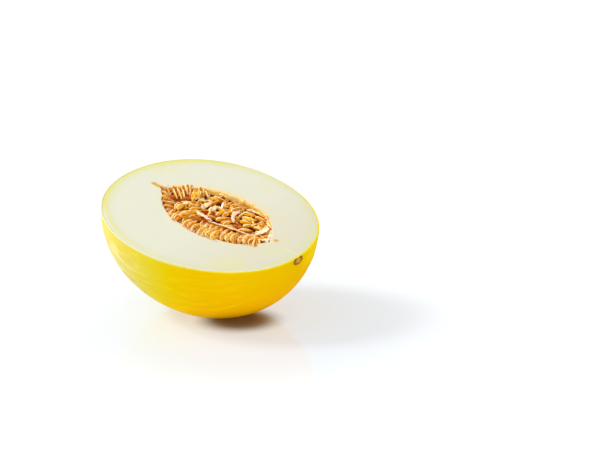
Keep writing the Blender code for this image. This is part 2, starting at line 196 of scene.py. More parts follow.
# Seeds that lean on the cavity's wall from the blossom end on, and two broad pale ones among them,
# listed in the same way
WALL_SEEDS = (
    (-50, 3.8, 1, 6, -30, -18, -40, 0.34),
    (-46.7, 5.1, 1.2, 7, -34, -20, -24, 0.3),
    (-43.2, 7, 1.2, 8, -38, -20, -20, 0.4),
    (-40.6, 9.2, 1.2, 8, -44, -20, -34, 0.34),
    (-38.5, 11.8, 1.2, 8.5, -46, -20, -20, 0.3),
    (-36.8, 14.4, 1, 9, -54, -20, -14, 0.46),
    (-34.2, 16.2, 1, 9, -50, -20, -30, 0.4),
    (-25.2, 8.9, 0.2, 11.5, -58, -8, 4, 0.86),
    (-23.9, 12.1, 0.1, 11.5, -66, -8, 6, 0.9),
    (-27.9, 18.8, 1, 8.5, -56, -20, -24, 0.4),
    (-24.6, 20.1, 1, 8, -60, -20, -34, 0.36),
    (-43.9, -1.9, 0.9, 7, 8, -14, 50, 0.34),
    (-39.4, -6.4, 0.9, 7.5, 18, -14, 40, 0.42),
    (-34.2, -10.5, 0.9, 8, 30, -14, 46, 0.3),
    (-28.9, -13.6, 0.9, 8, 46, -14, 36, 0.44),
    (-23.6, -16.3, 0.9, 8.5, 62, -14, 40, 0.34),
    (-17.9, -18.5, 0.9, 9, 84, -14, 44, 0.46),
    (-12.1, -19.7, 0.9, 9, 100, -12, 40, 0.4),
)
SINK = 0.35  # of half its width, for a seed that stands on edge
WIDTH_SHARE = 0.88  # of a full seed's width and thickness
SEED_BEND = 9.0  # most that one bends, over the square of the distance from its middle, per metre
BETWEEN_SEEDS = 64
BETWEEN_DEPTH = (0.0026, 0.0042)
UNDER_PITCH = 0.0056
UNDER_GRID = ((-0.048, 0.054), (-0.025, 0.031))  # along and across the cavity
UNDER_SHIFT = 0.0017  # most that a seed lies off the grid
UNDER_DEPTH = (0.0036, 0.0062)
FAN_END = -0.026  # towards the blossom end from here, the seeds fan out and are darker
FAN_TONE_SHARE = 0.5
STRANDS = 70
PULP_OVERLAP = 0.0014
PULP_CLIMB = 0.0028  # of the pulp at the wall
PULP_CLIMB_WIDTH = 0.0022

# The pulp's skins: a path of x, y and depth, then width and thickness, in millimetres, the turn of
# the sheet in degrees and the height of its waves
SKINS = (
    (((4.0, -7.6, 1.4), (9.5, -8.2, 0.2), (17.0, -6.6, -0.2), (25.4, -5.0, -0.3), (34.3, -2.9, 0.0),
      (40.5, -0.9, 0.8)), 3.4, 0.8, 28, 0.25),
    (((13.5, 17.5, 0.6), (11.5, 13.0, 0.8), (15.0, 8.0, 1.2), (19.0, 4.0, 1.8)), 3.2, 0.5, 40, 0.6),
    (((-10.5, -3.8, 1.6), (-4.0, -4.8, 1.3), (2.0, -4.9, 1.2), (6.0, -4.5, 1.6)), 4.2, 0.8, 12, 0.8),
    (((1.0, 11.0, 1.6), (-2.0, 15.0, 1.0), (-4.5, 20.0, 0.8)), 2.0, 0.5, 40, 0.5),
    (((42.0, 1.5, 0.3), (43.8, 6.5, -0.2), (43.8, 12.0, 0.2), (41.5, 16.0, 0.9)), 5.4, 0.5, 14, 0.9),
    (((38.0, -1.0, 0.6), (38.5, -6.0, 0.1), (41.0, -12.0, 0.4)), 1.3, 0.6, 80, 0.4),
    (((47.0, -2.0, 0.8), (51.0, 1.0, 0.4), (53.0, 5.0, 0.8)), 3.0, 0.5, 15, 0.8),
    (((14.5, 23.5, 0.8), (19.0, 25.0, 0.5), (26.0, 26.0, 0.5)), 2.4, 0.5, 20, 0.5),
    (((46.0, 15.2, 0.5), (49.6, 11.2, 0.2), (51.8, 7.6, 0.2), (53.2, 3.6, 0.4),
      (53.8, 0.0, 0.9)), 3.4, 0.5, 24, 0.6),
)
SKIN_STEP = 0.45  # between the rings of a skin or a strand, in millimetres
SKIN_SWAY_LENGTH = 2.2  # of the waves in its middle
SKIN_EDGE_LENGTH = 1.7  # of the waves in its width
STRAND_WIDTH = (0.35, 0.8)
STRAND_THICKNESS = 0.35
STRAND_REACH = (4.0, 11.0)  # from the wall inwards
STRAND_START = 0.0008  # from the wall
RANDOM_SEED = 11

# The skin of the fruit, its marks and those of the knife
RIND_THICKNESS = 0.0012
FLESH_GAP = 0.00003  # between the rind and the flesh
CUT_EDGE_ROUNDING = 0.0003
MOUTH_ROUNDING = 0.0004
REST_SOFTNESS = 0.0004  # of the flat spot's edge
BUNDLE = (0.0584, 0.0058)  # amber spot where a bundle of fibres was cut
SEAM_START = 0.058  # of the raised seam that runs towards the scar
SEAM_WIDTH = 0.0009
SEAM_RISE = 0.00008
WRINKLE_RISE = 0.00022
WRINKLE_SQUEEZE = 0.22  # of the places along the fruit, which draws the wrinkles out lengthwise
WRINKLE_FADE = 0.03  # distance from the axis within which they fade
SCAR_RADIUS = 0.0054
SCAR_HEIGHT_SHARE = 0.76  # it is lower than it is wide
SCAR_RING_RADIUS = 0.0038
SCAR_RING_WIDTH = 0.0010
SCAR_RING_RISE = 0.0006
SCAR_PIT_RADIUS = 0.0019
SCAR_PIT_DEPTH = 0.0003
SCAR_LIFT = 0.0005
SCAR_EDGE_DROP = 0.0010
SCAR_BACK = 0.0015  # how far its back lies inside the fruit's end
SCAR_CUT_GAP = 0.00005  # from its top to the cut face
STEM_END_CURVE = 0.066  # radius of the fruit's end under the scar

# What is uneven, in layers that each have a rise and a width of waves
WRINKLE_LAYERS = ((1.0, 0.010), (0.4, 0.0035))  # their rises are shares of WRINKLE_RISE
MOUTH_LAYERS = ((0.0011, 0.0042), (0.0005, 0.0018))
MOUTH_LIMITS = (-0.0012, 0.0010)
CHANNEL_WIDENING = 0.0003
CUT_LAYERS = ((0.00006, 0.012),)
SCAR_LAYERS = ((0.00016, 0.0012),)
PULP_LAYERS = ((0.0007, 0.006), (0.0004, 0.002))

# The studio
CAMERA_PLACE = Vector((0.7527, -0.8810, 0.3539))
CAMERA_LOOK = Vector((-0.5899, 0.7704, -0.2419))
CAMERA_LENS = 97.16
LIGHT_SIDE = Vector((-0.794, -0.608, 0.9))  # the photo's left, and above
WORLD_STRENGTH = (0.37, 0.90)  # of the light from the other side, and from that side
KEY_LIGHT = (Vector((-2.2, -0.86, 1.9)), 1.0, 64.0)  # place, width and watts
FILL_LIGHT = (Vector((1.5, -0.50, 0.22)), 1.0, 5.5)
LIGHTS_AIM = Vector((0.0, 0.0, 0.04))
FLOOR_HALF_WIDTH = 6.0
FLOOR_WHITE = (0.34, 0.37, 0.41, 1.0)  # its own glow makes up the rest
FLOOR_PAINTED_SHADOW = (0.20, 0.15, 0.13, 1.0)
FLOOR_PAINTED_SHADOW_PLACE = (0.029, -0.008, 0.0)  # where the painted shadow is darkest
FLOOR_GLOW = (0.48, 0.12)  # of the floor outside that painted shadow, and what is added further out


def lowest_point(turn):
    """The point of the whole fruit, in its own frame, that is lowest once it leans."""
    down = turn.transposed() @ Vector((0.0, 0.0, -1.0))
    across = math.hypot(down.y, down.z)
    along = np.sin(np.radians(np.arange(-1799, 1800) / 20))
    best = along[np.argmax(FRUIT_HALF_LENGTH * along * down.x + fruit_radius(along) * across)]
    radius = float(fruit_radius(best))
    return Vector((FRUIT_HALF_LENGTH * best, radius * down.y / across, radius * down.z / across))


def fruit_radius(along):
    """Of the fruit at -1 (blossom end) to 1 (stem end) along its axis."""
    fullness = np.clip(1.0 - np.abs(along) ** FRUIT_FULLNESS, 0.0, None)
    return FRUIT_RADIUS * fullness ** (1.0 / FRUIT_FULLNESS) * (1.0 - STEM_END_TAPER * along)


def cavity_radius(x):
    """Of the cavity at these places along the fruit."""
    blossom = x < CAVITY_WIDEST
    to_end = np.where(blossom, BLOSSOM_END[0], STEM_END[0])
    bluntness = np.where(blossom, BLOSSOM_END[1], STEM_END[1])
    along = np.abs(x - CAVITY_WIDEST) / to_end
    return CAVITY_RADIUS * np.clip(1.0 - along**CAVITY_FULLNESS, 0.0, None) ** bluntness


def lean_matrix():
    turn = Euler((LEAN_ACROSS, LEAN_ALONG, 0.0)).to_matrix()
    place = -(turn @ lowest_point(turn)) - Vector((0.0, 0.0, REST_DEPTH))
    return Matrix.LocRotScale(place, turn, None)


LEAN = lean_matrix()
MIDDLE = np.array((0.0, CAVITY_AXIS.y, CUT_HEIGHT))  # of the cut face, where the rays start


def leaned(points):
    """Points of the fruit's frame in the part's frame."""
    return points @ np.array(LEAN.to_3x3()).T + np.array(LEAN.translation)


def upright(points):
    """Points of the part's frame in the fruit's frame."""
    return (points - np.array(LEAN.translation)) @ np.array(LEAN.to_3x3())


def rough(points, width):
    """Smooth noise of about -1 to 1 at each point, with waves this wide, in metres."""
    return np.array([noise.fractal(Vector(point) / width, 1.0, 2.0, 3) for point in points])


def bumpy(points, layers):
    """Uneven height at each point, from layers that each have a rise and a width."""
    return sum(rise * rough(points, width) for rise, width in layers)


def inside_fruit(points):
    along = points[:, 0] / FRUIT_HALF_LENGTH
    return np.hypot(points[:, 1], points[:, 2]) < fruit_radius(along)


def inside_cavity(points):
    x = points[:, 0]
    channel = (x > CHANNEL_TIP) & (x < CAVITY_WIDEST)
    radius = np.maximum(cavity_radius(x), np.where(channel, CHANNEL_RADIUS, 0.0))
    return np.hypot(points[:, 1] - CAVITY_AXIS.y, points[:, 2] - CAVITY_AXIS.z) < radius


def ray_directions(turns, dip):
    """Directions down from the cut face, all dipping alike."""
    level = math.cos(dip)
    return np.stack(
        [level * np.cos(turns), level * np.sin(turns), np.full(len(turns), -math.sin(dip))], axis=1
    )


def reach(directions, inside):
    """How far each ray from the middle goes before it leaves a shape, by halving its range."""
    near = np.zeros(len(directions))
    far = np.full(len(directions), 2 * FRUIT_HALF_LENGTH)
    for _ in range(34):
        half = (near + far) / 2
        within = inside(points_along(directions, half))
        near = np.where(within, half, near)
        far = np.where(within, far, half)
    return near


def points_along(directions, distance):
    """Points this far from the middle, each on its own ray."""
    return MIDDLE + directions * distance[:, None]


def turns_round():
    """Angles round the cut face, closer together at the scar and at the juice channel."""
    even = np.linspace(-math.pi, math.pi, 420, endpoint=False)
    channel = math.pi + np.radians(np.linspace(-5, 5, 41))
    scar = np.radians(np.linspace(-5, 5, 31))
    joined = np.concatenate([even, np.mod(channel + math.pi, 2 * math.pi) - math.pi, scar])
    return np.unique(np.round(joined, 5))


TURNS = turns_round()
LEVEL = ray_directions(TURNS, 0.0)  # rays in the cut face
DOWN = ray_directions(np.zeros(1), math.pi / 2)  # one ray, square to it


def wrap(rings):
    """Points and faces of a closed skin over rings, of which the first and last are single points."""
    count = len(rings[1])
    points = np.concatenate([np.atleast_2d(ring) for ring in rings])
    this = np.arange(count)
    after = np.roll(this, -1)
    faces = [(0, 1 + b, 1 + a) for a, b in zip(this, after)]
    for number in range(len(rings) - 3):
        low = 1 + number * count
        high = low + count
        faces += [(low + a, low + b, high + b, high + a) for a, b in zip(this, after)]
    low = 1 + (len(rings) - 3) * count
    faces += [(low + a, low + b, low + count) for a, b in zip(this, after)]
    return points, faces


def add_piece(name, points, faces, finish, nodes, attributes=None):
    """A smooth closed mesh, from points in the fruit's frame, that rides on the part."""
    mesh = bpy.data.meshes.new(name)
    mesh.from_pydata(leaned(points).tolist(), [], faces)
    mesh.validate()
    for key, values in (attributes or {}).items():
        mesh.attributes.new(key, "FLOAT", "POINT").data.foreach_set("value", values.astype(np.float32))
    mesh.shade_smooth()
    mesh.materials.append(finish)
    piece = bpy.data.objects.new(name, mesh)
    bpy.context.scene.collection.objects.link(piece)
    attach(piece, "root")
    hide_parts(*nodes)


class Socket:
    """A node's output. Arithmetic on it adds Math nodes."""

    def __init__(self, nodes, output):
        self.nodes = nodes
        self.output = output

    def maths(self, operation, *values):
        return self.nodes.node("ShaderNodeMath", dict(enumerate(values)), operation=operation)

    def __add__(self, other):
        return self.maths("ADD", self, other)

    def __radd__(self, other):
        return self.maths("ADD", other, self)

    def __sub__(self, other):
        return self.maths("SUBTRACT", self, other)

    def __rsub__(self, other):
        return self.maths("SUBTRACT", other, self)

    def __mul__(self, other):
        return self.maths("MULTIPLY", self, other)

    def __rmul__(self, other):
        return self.maths("MULTIPLY", other, self)

    def __truediv__(self, other):
        return self.maths("DIVIDE", self, other)

    def __pow__(self, other):
        return self.maths("POWER", self, other)

    def __abs__(self):
        return self.maths("ABSOLUTE", self)


class Nodes:
    """The nodes of a material or of the world."""

    def __init__(self, tree):
        self.tree = tree

    def node(self, kind, sockets, output=0, **settings):
        """A node with its settings made first, and then a value or a link for each socket."""
        made = self.tree.nodes.new(kind)
        for name, value in settings.items():
            setattr(made, name, value)
        for place, value in sockets.items():
            self.join(made.inputs[place], value)
        return Socket(self, made.outputs[output])

    def join(self, socket, value):
        if isinstance(value, Socket):
            self.tree.links.new(value.output, socket)
        else:
            socket.default_value = value


class Finish(Nodes):
    """A material being made: a Principled shader and the nodes that feed it."""

    def __init__(self, name, **constants):
        self.material = bpy.data.materials.new(name)
        self.material.use_nodes = True
        super().__init__(self.material.node_tree)
        self.shader = self.tree.nodes["Principled BSDF"]
        self.set(**constants)
        sockets = {
            "Vector": self.node("ShaderNodeTexCoord", {}, output="Object"),
            "Location": LEAN.translation,
            "Rotation": LEAN.to_euler(),
        }
        self.place = self.node("ShaderNodeMapping", sockets, vector_type="TEXTURE")

    def set(self, **sockets):
        """Feeds the shader's own sockets."""
        for name, value in sockets.items():
            self.join(self.shader.inputs[name.replace("_", " ")], value)

    def axes(self):
        """x, y and z of the place."""
        return [
            self.node("ShaderNodeSeparateXYZ", {0: self.place}, output=axis) for axis in ("X", "Y", "Z")
        ]

    def noise(self, place, scale, detail, roughness=0.5):
        sockets = {"Vector": place, "Scale": scale, "Detail": detail, "Roughness": roughness}
        return self.node("ShaderNodeTexNoise", sockets)

    def attribute(self, name):
        return self.node("ShaderNodeAttribute", {}, output="Fac", attribute_name=name)

    def ease(self, value, low, high):
        """0 below low, 1 above high and smooth between them."""
        sockets = {"Value": value, "From Min": low, "From Max": high}
        return self.node("ShaderNodeMapRange", sockets, interpolation_type="SMOOTHSTEP")

    def blend(self, share, first, second):
        """A colour between two, or the second laid over the first."""
        return self.node(
            "ShaderNodeMix", {0: share, 6: first, 7: second}, output=2, data_type="RGBA"
        )

    def bump(self, height, distance, strength):
        sockets = {"Height": height, "Distance": distance, "Strength": strength}
        self.set(Normal=self.node("ShaderNodeBump", sockets))


def color(red, green, blue):
    """A colour as linear numbers, from its screen values of 0 to 255."""
    linear = []
    for value in (red / 255, green / 255, blue / 255):
        linear.append(value / 12.92 if value <= 0.04045 else ((value + 0.055) / 1.055) ** 2.4)
    return (*linear, 1.0)


def rind_finish():
    """Bright yellow wax with lengthwise streaks. It is paler on the front towards the blossom end,
    partly its own colour and partly painted highlight; it is deeper orange and glows more towards the
    bottom, as painted shade and painted light, and painted light brightens it beyond the scar.
    """
    finish = Finish(
        "waxy rind",
        Specular_IOR_Level=0.001,
        Coat_Roughness=0.16,
        Coat_IOR=1.2,
        Emission_Strength=0.25,
    )
    x, y, z = finish.axes()
    outwards = finish.node(
        "ShaderNodeVectorMath", {0: finish.place, 1: (0.0, 1.0, 1.0)}, operation="MULTIPLY"
    )
    round_axis = finish.node("ShaderNodeVectorMath", {0: outwards}, operation="NORMALIZE")
    along = finish.node("ShaderNodeCombineXYZ", {0: x * 2.5})
    unrolled = finish.node("ShaderNodeVectorMath", {0: round_axis, 1: along}, operation="ADD")
    streaks = finish.noise(unrolled, 22.0, 4.0)
    fine = finish.noise(unrolled, 46.0, 3.0)
    mottle = finish.noise(finish.place, 38.0, 3.0)
    lemon_and_highlight = color(220, 206, 140)
    yellow = color(230, 212, 12)
    golden = color(238, 188, 0)
    orange = color(248, 168, 0)
    # Paler lemon towards the blossom end, on the front only: partly the rind's own colour, partly
    # painted highlight
    leaving = finish.ease(x + mottle * 0.03, -0.044, 0.044)
    behind = finish.ease(y + mottle * 0.02, -0.016, 0.030)
    leaving = leaving + (1.0 - leaving) * finish.ease(x + mottle * 0.03, -0.040, -0.070) * 0.6
    leaving = leaving + (1.0 - leaving) * behind * 0.8
    towards_stem = finish.ease(x + mottle * 0.02, 0.004, 0.062)
    base = finish.blend(towards_stem, finish.blend(leaving, lemon_and_highlight, yellow), golden)
    # Deeper orange towards the bottom and the stem end: partly the rind's own colour, partly painted
    # shade
    low = finish.ease(z * -1.0 + x * 0.45 + mottle * 0.03, 0.052, 0.112)
    base = finish.blend(low, base, orange)
    near_cut = finish.ease(z, -0.018, -0.002) * (0.5 - towards_stem * 0.4)
    base = finish.blend(near_cut, base, color(224, 204, 8))
    # Painted light: a brighter yellow near the rim beyond the scar, where the rind is less lit
    painted_light_beyond_scar = finish.ease(z, -0.018, -0.004) * finish.ease(x, 0.030, 0.060)
    painted_light_beyond_scar = painted_light_beyond_scar * finish.ease(y, 0.000, 0.018)
    base = finish.blend(painted_light_beyond_scar * 0.7, base, color(255, 222, 0))
    # Pale streaks, paler towards the blossom end and lower down: the rind's own streaks, with painted
    # highlight in their paleness
    light = finish.blend(finish.ease(x, -0.030, 0.016), color(238, 230, 160), color(250, 216, 10))
    off_axis = finish.ease((y * y + z * z) ** 0.5, 0.008, 0.050)
    pale = finish.ease(streaks, 0.46, 0.66) * finish.ease(mottle, 0.36, 0.54) * off_axis
    pale = pale * (0.92 - finish.ease(x, -0.040, -0.010) * 0.17 - towards_stem * 0.35 - behind * 0.25)
    base = finish.blend(pale * (0.45 + finish.ease(z, 0.0, -0.022) * 0.55), base, light)
    base = finish.blend(finish.ease(fine, 0.50, 0.30) * 0.30, base, color(230, 184, 6))
    at_rim = finish.ease(z, CUT_HEIGHT - 0.0009, CUT_HEIGHT - 0.0002)
    rim_line = finish.blend(towards_stem, color(222, 221, 180), color(230, 208, 24))
    base = finish.blend(at_rim, base, rim_line)
    finish.set(
        Base_Color=base,
        # Painted light: the rind glows a little, most towards the bottom
        Emission_Color=finish.blend(0.68 - low * 0.68, base, (0.0, 0.0, 0.0, 1.0)),
        Roughness=0.30 + streaks * 0.15,
        Coat_Weight=mottle * 0.012,
    )
    finish.bump(streaks + fine * 0.4, 0.0006, 0.35)
    return finish.material


def flesh_finish():
    """Moist white flesh, greener under the rind, with juice on the cavity's wall and a painted glow on
    its far side.
    """
    finish = Finish(
        "melon flesh",
        Specular_IOR_Level=0.45,
        Subsurface_Weight=0.35,
        Subsurface_Radius=(1.0, 0.8, 0.4),
        Subsurface_Scale=0.003,
        Coat_Weight=0.15,
        Coat_Roughness=0.12,
        Emission_Strength=1.0,
    )
    x, y, z = finish.axes()
    along = x / FRUIT_HALF_LENGTH
    across = (y * y + z * z) / FRUIT_RADIUS**2
    depth = (1.0 - (along * along + across) ** 0.5) * FRUIT_RADIUS
    cloud = finish.noise(finish.place, 55.0, 3.0)
    grain = finish.noise(finish.place, 900.0, 3.0, 0.6)
    white = color(222, 221, 200)
    beige = color(218, 213, 190)
    green = color(214, 214, 158)
    yellow = color(228, 218, 96)
    base = finish.blend(finish.ease(x, 0.0, 0.07), white, beige)
    base = finish.blend(finish.ease(depth + cloud * 0.008, 0.0150, 0.0030) * 0.75, base, green)
    skin = finish.ease(depth + cloud * 0.008, 0.0104, 0.0040) * finish.ease(x, 0.03, -0.06)
    base = finish.blend(skin, base, yellow)
    stains = finish.noise(finish.place, 26.0, 2.0)
    near_rind = finish.ease(depth, 0.0300, 0.0060)
    stained = finish.ease(stains, 0.50, 0.68) * near_rind
    base = finish.blend(stained * 0.55, base, color(222, 222, 150))
    white_band = finish.ease(depth + cloud * 0.002, 0.0044, 0.0024) * finish.ease(y, -0.010, -0.030)
    white_band = white_band * finish.ease(x, -0.070, -0.050)
    base = finish.blend(white_band * 0.8, base, color(226, 225, 206))
    drop = CUT_HEIGHT - z
    from_mouth = finish.attribute("from_mouth")
    stain = finish.noise(finish.place, 260.0, 3.0)
    far_side = finish.ease(y, 0.004, 0.012) * finish.ease(x, 0.046, 0.020)
    halo = finish.ease(from_mouth + stain * 0.0060, 0.0125, 0.0035)
    base = finish.blend(halo * (0.10 + far_side * 0.50), base, color(237, 214, 150))
    soaked = finish.ease(from_mouth + stain * 0.0060, 0.0066, 0.0016)
    base = finish.blend(soaked * (0.10 + far_side * 0.62), base, color(243, 202, 100))
    far = finish.ease(y, -0.004, 0.004)
    juice = finish.ease(drop + stain * 0.0010 + far * 0.0014, 0.0019, 0.0032)
    base = finish.blend(juice, base, color(246, 200, 78))
    base = finish.blend(finish.ease(drop + stain * 0.0020, 0.0030, 0.0070), base, color(236, 138, 0))
    channel = finish.ease(abs(y - CAVITY_AXIS.y) + stain * 0.0020, 0.0042, 0.0016)
    channel = channel * finish.ease(x, -0.0440, -0.0480)
    channel = channel * finish.ease(x + stain * 0.004, -0.0605, -0.0560)
    base = finish.blend(channel * 0.9, base, color(240, 196, 60))
    # Painted light: the juice on the far wall glows
    through = juice * finish.ease(y, -0.004, 0.010)
    glow = finish.blend(through, (0.0, 0.0, 0.0, 1.0), (0.22, 0.145, 0.025, 1.0))
    bundle = ((x - BUNDLE[0]) ** 2 + (y - BUNDLE[1]) ** 2) ** 0.5
    round_bundle = finish.ease(bundle + stain * 0.0010, 0.0042, 0.0024)
    base = finish.blend(round_bundle * 0.4, base, color(236, 196, 120))
    in_bundle = finish.ease(bundle + stain * 0.0012, 0.0026, 0.0017)
    base = finish.blend(in_bundle, base, color(222, 156, 48))
    seam = finish.ease(abs(y - 0.0026) + stain * 0.0006, 0.0012, 0.0005)
    seam = seam * finish.ease(x, 0.0610, 0.0680)
    base = finish.blend(seam * 0.30, base, color(240, 236, 220))
    finish.set(Base_Color=base, Roughness=0.30 + grain * 0.20, Emission_Color=glow)
    finish.bump(grain, 0.0002, 0.25)
    return finish.material


def scar_finish():
    """Dry brown cork, paler in its middle and yellow at its edge."""
    finish = Finish("corky scar", Roughness=0.85, Specular_IOR_Level=0.1)
    _, y, z = finish.axes()
    flat = z / SCAR_HEIGHT_SHARE
    radius = (y * y + flat * flat) ** 0.5
    cork = finish.noise(finish.place, 900.0, 5.0, 0.7)
    base = finish.blend(finish.ease(cork, 0.38, 0.62), color(120, 66, 0), color(202, 138, 34))
    pit = finish.ease(radius + cork * 0.0014, 0.0036, 0.0026)
    base = finish.blend(pit, base, color(226, 164, 66))
    edge = finish.ease(radius + cork * 0.0012, 0.0050, 0.0060)
    base = finish.blend(edge, base, color(238, 178, 8))
    finish.set(Base_Color=base)
    finish.bump(cork, 0.0004, 0.6)
    return finish.material


def seed_finish():
    """Amber seeds, streaked lengthwise, with painted highlight along their upper edges, painted shade
    on their undersides, and a painted glow that is brightest as glints on the palest.
    """
    finish = Finish(
        "wet amber seeds",
        Subsurface_Weight=0.10,
        Subsurface_Radius=(1.0, 0.45, 0.12),
        Subsurface_Scale=0.0010,
        Coat_Weight=0.09,
        Coat_Roughness=0.08,
        Specular_IOR_Level=0.08,
        Emission_Strength=1.0,
    )
    tone = finish.attribute("tone")
    along = finish.attribute("along")
    across = finish.attribute("across")
    lengthwise = finish.node(
        "ShaderNodeCombineXYZ", {0: along * 0.8, 1: across * 2.0, 2: tone * 60.0}
    )
    streak = finish.noise(lengthwise, 1.5, 3.0, 0.6)
    cloud = finish.noise(finish.place, 420.0, 3.0)
    upwards = finish.attribute("upwards")
    amber = finish.blend(finish.ease(tone, 0.0, 0.55), color(172, 54, 0), color(255, 172, 10))
    amber = finish.blend(finish.ease(tone, 0.6, 0.95), amber, color(255, 200, 50))
    # The palest seeds are whitish: partly the skins round them, partly painted glare
    amber = finish.blend(finish.ease(tone, 0.95, 1.0), amber, color(255, 240, 208))
    base = finish.blend(finish.ease(streak, 0.51, 0.58) * 0.85, amber, color(176, 60, 0))
    light_streak = finish.ease(streak, 0.46, 0.34) * finish.ease(tone, 0.2, 0.6)
    base = finish.blend(light_streak, base, color(255, 196, 54))
    x, y, z = finish.axes()
    milky = finish.ease(cloud, 0.40, 0.60) * finish.ease(y, -0.005, -0.013)
    milky = milky * finish.ease(x, -0.008, 0.012)
    base = finish.blend(milky * 0.45, base, color(252, 228, 140))
    drop = CUT_HEIGHT - z
    shaded = finish.ease(upwards + cloud * 0.5, 0.15, -0.6) * finish.ease(drop, -0.0002, 0.0012)
    base = finish.blend(shaded * (0.9 - finish.ease(tone, 0.92, 1.0) * 0.55), base, color(112, 18, 0))
    speckle = finish.ease(cloud, 0.56, 0.66) * finish.ease(tone, 0.38, 0.60)
    base = finish.blend(speckle * 0.7, base, color(255, 226, 120))
    # Painted highlight along each seed's upper edge
    patch = finish.noise(finish.place, 210.0, 2.0)
    pale = finish.ease(upwards + cloud * 0.3 + patch * 1.2, 1.40, 1.62)
    pale = pale * finish.ease(tone, 0.1, 0.5)
    base = finish.blend(pale, base, color(252, 231, 162))
    # Painted light: a faint glow on every seed, and bright painted glints on the palest
    wet = finish.ease(tone, 0.90, 1.0) * finish.ease(cloud, 0.40, 0.60)
    painted_glow_and_glint = finish.blend(wet, (0.045, 0.013, 0.0, 1.0), (0.34, 0.31, 0.22, 1.0))
    finish.set(Base_Color=base, Roughness=0.25 + cloud * 0.25, Emission_Color=painted_glow_and_glint)
    finish.bump(cloud + streak * 0.8, 0.0005, 0.6)
    return finish.material


def pulp_finish():
    """Amber jelly, with painted shade that darkens it to red-brown in the hollows."""
    finish = Finish("amber pulp", Coat_Weight=0.3, Coat_Roughness=0.08, Specular_IOR_Level=0.1)
    _, _, z = finish.axes()
    cloud = finish.noise(finish.place, 260.0, 4.0, 0.6)
    # Painted shade: the lower the pulp lies, the darker it is
    height = finish.ease(z + cloud * 0.003, CUT_HEIGHT - 0.0035, CUT_HEIGHT + 0.0010)
    base = finish.blend(height, color(88, 16, 0), color(214, 112, 18))
    finish.set(Base_Color=base, Roughness=0.25 + cloud * 0.2)
    finish.bump(cloud, 0.0006, 0.6)
    return finish.material


def film_finish():
    """Whitish wet skins that hold the seeds, with a faint painted glow."""
    finish = Finish(
        "pulp skins",
        Subsurface_Weight=0.3,
        Subsurface_Radius=(1.0, 0.8, 0.6),
        Subsurface_Scale=0.001,
        Coat_Weight=0.6,
        Coat_Roughness=0.1,
        # Painted light: a faint warm glow
        Emission_Strength=0.20,
        Emission_Color=(1.0, 0.82, 0.56, 1.0),
    )
    cloud = finish.noise(finish.place, 300.0, 3.0)
    base = finish.blend(finish.ease(cloud, 0.36, 0.62), color(250, 238, 216), color(242, 200, 136))
    finish.set(Base_Color=base, Roughness=0.25 + cloud * 0.2)
    return finish.material


def strand_finish():
    """Fibres as amber as the juice that they hold."""
    finish = Finish(
        "pulp strands",
        Coat_Weight=0.7,
        Coat_Roughness=0.1,
        Subsurface_Weight=0.3,
        Subsurface_Scale=0.001,
    )
    cloud = finish.noise(finish.place, 350.0, 2.0)
    base = finish.blend(finish.ease(cloud, 0.35, 0.65), color(214, 138, 30), color(244, 206, 140))
    finish.set(Base_Color=base, Roughness=0.3)
    return finish.material


def settle(points):
    """Presses the points that would be under the floor up to a flat spot with a soft edge."""
    low = leaned(points)
    low[:, 2] = (low[:, 2] + np.sqrt(low[:, 2] ** 2 + REST_SOFTNESS**2)) / 2
    return upright(low)


def wrinkles(points):
    """Height of the rind's lengthwise wrinkles, which run together at both ends."""
    along = points[:, 0] * WRINKLE_SQUEEZE
    y, z = points[:, 1], points[:, 2]
    radius = np.hypot(y, z) + 1e-6
    unrolled = np.stack([along, y / radius * FRUIT_RADIUS, z / radius * FRUIT_RADIUS], axis=1)
    fade = np.clip(radius / WRINKLE_FADE, 0.0, 1.0)
    return WRINKLE_RISE * fade * bumpy(unrolled, WRINKLE_LAYERS)


def make_rind():
    """A shell whose outer side rises to the rim of the cut, and whose inner side goes back down."""
    rings = [settle(points_along(DOWN, reach(DOWN, inside_fruit)))]
    for dip in np.radians(np.concatenate([np.linspace(90, 6, 84)[1:], np.linspace(5, 0.5, 12)])):
        directions = ray_directions(TURNS, dip)
        points = points_along(directions, reach(directions, inside_fruit))
        points += directions * wrinkles(points)[:, None]
        rings.append(settle(points))
    rim = reach(LEVEL, inside_fruit)
    for bend in np.radians((0, 30, 60, 90)):
        inset = CUT_EDGE_ROUNDING * (1 - math.cos(bend))
        drop = CUT_EDGE_ROUNDING * (1 - math.sin(bend))
        rings.append(points_along(LEVEL, rim - inset) - np.array((0.0, 0.0, drop)))
    for dip in np.radians(np.concatenate([(0.0, 1.5, 3.5), np.linspace(6, 90, 22)[:-1]])):
        rings.append(ring_inside(dip, RIND_THICKNESS))
    rings.append(settle(points_along(DOWN, reach(DOWN, inside_fruit) - RIND_THICKNESS)))
    points, faces = wrap(rings)
    add_piece("rind", points, faces, rind_finish(), ["melon_half"])


def ring_inside(dip, depth):
    """A ring of points this deep in the fruit."""
    directions = ray_directions(TURNS, dip)
    points = points_along(directions, reach(directions, inside_fruit) - depth)
    return settle(points) + lift_inside(dip)


def lift_inside(dip):
    """Keeps the rind's inner side off its outer side at the flat spot."""
    return np.array((0.0, 0.0, RIND_THICKNESS * max(0.0, math.sin(dip) - 0.7) * 2.5))


def cut_relief(points):
    """Small waves that the knife left in the cut face, and the raised seam towards the scar."""
    x, y = points[:, 0], points[:, 1]
    seam_y = 0.003 - 0.001 * np.clip((x - 0.060) / 0.022, 0.0, 1.0)
    seam = np.exp(-(((y - seam_y) / SEAM_WIDTH) ** 2)) * (x > SEAM_START)
    return bumpy(points, CUT_LAYERS) + SEAM_RISE * seam


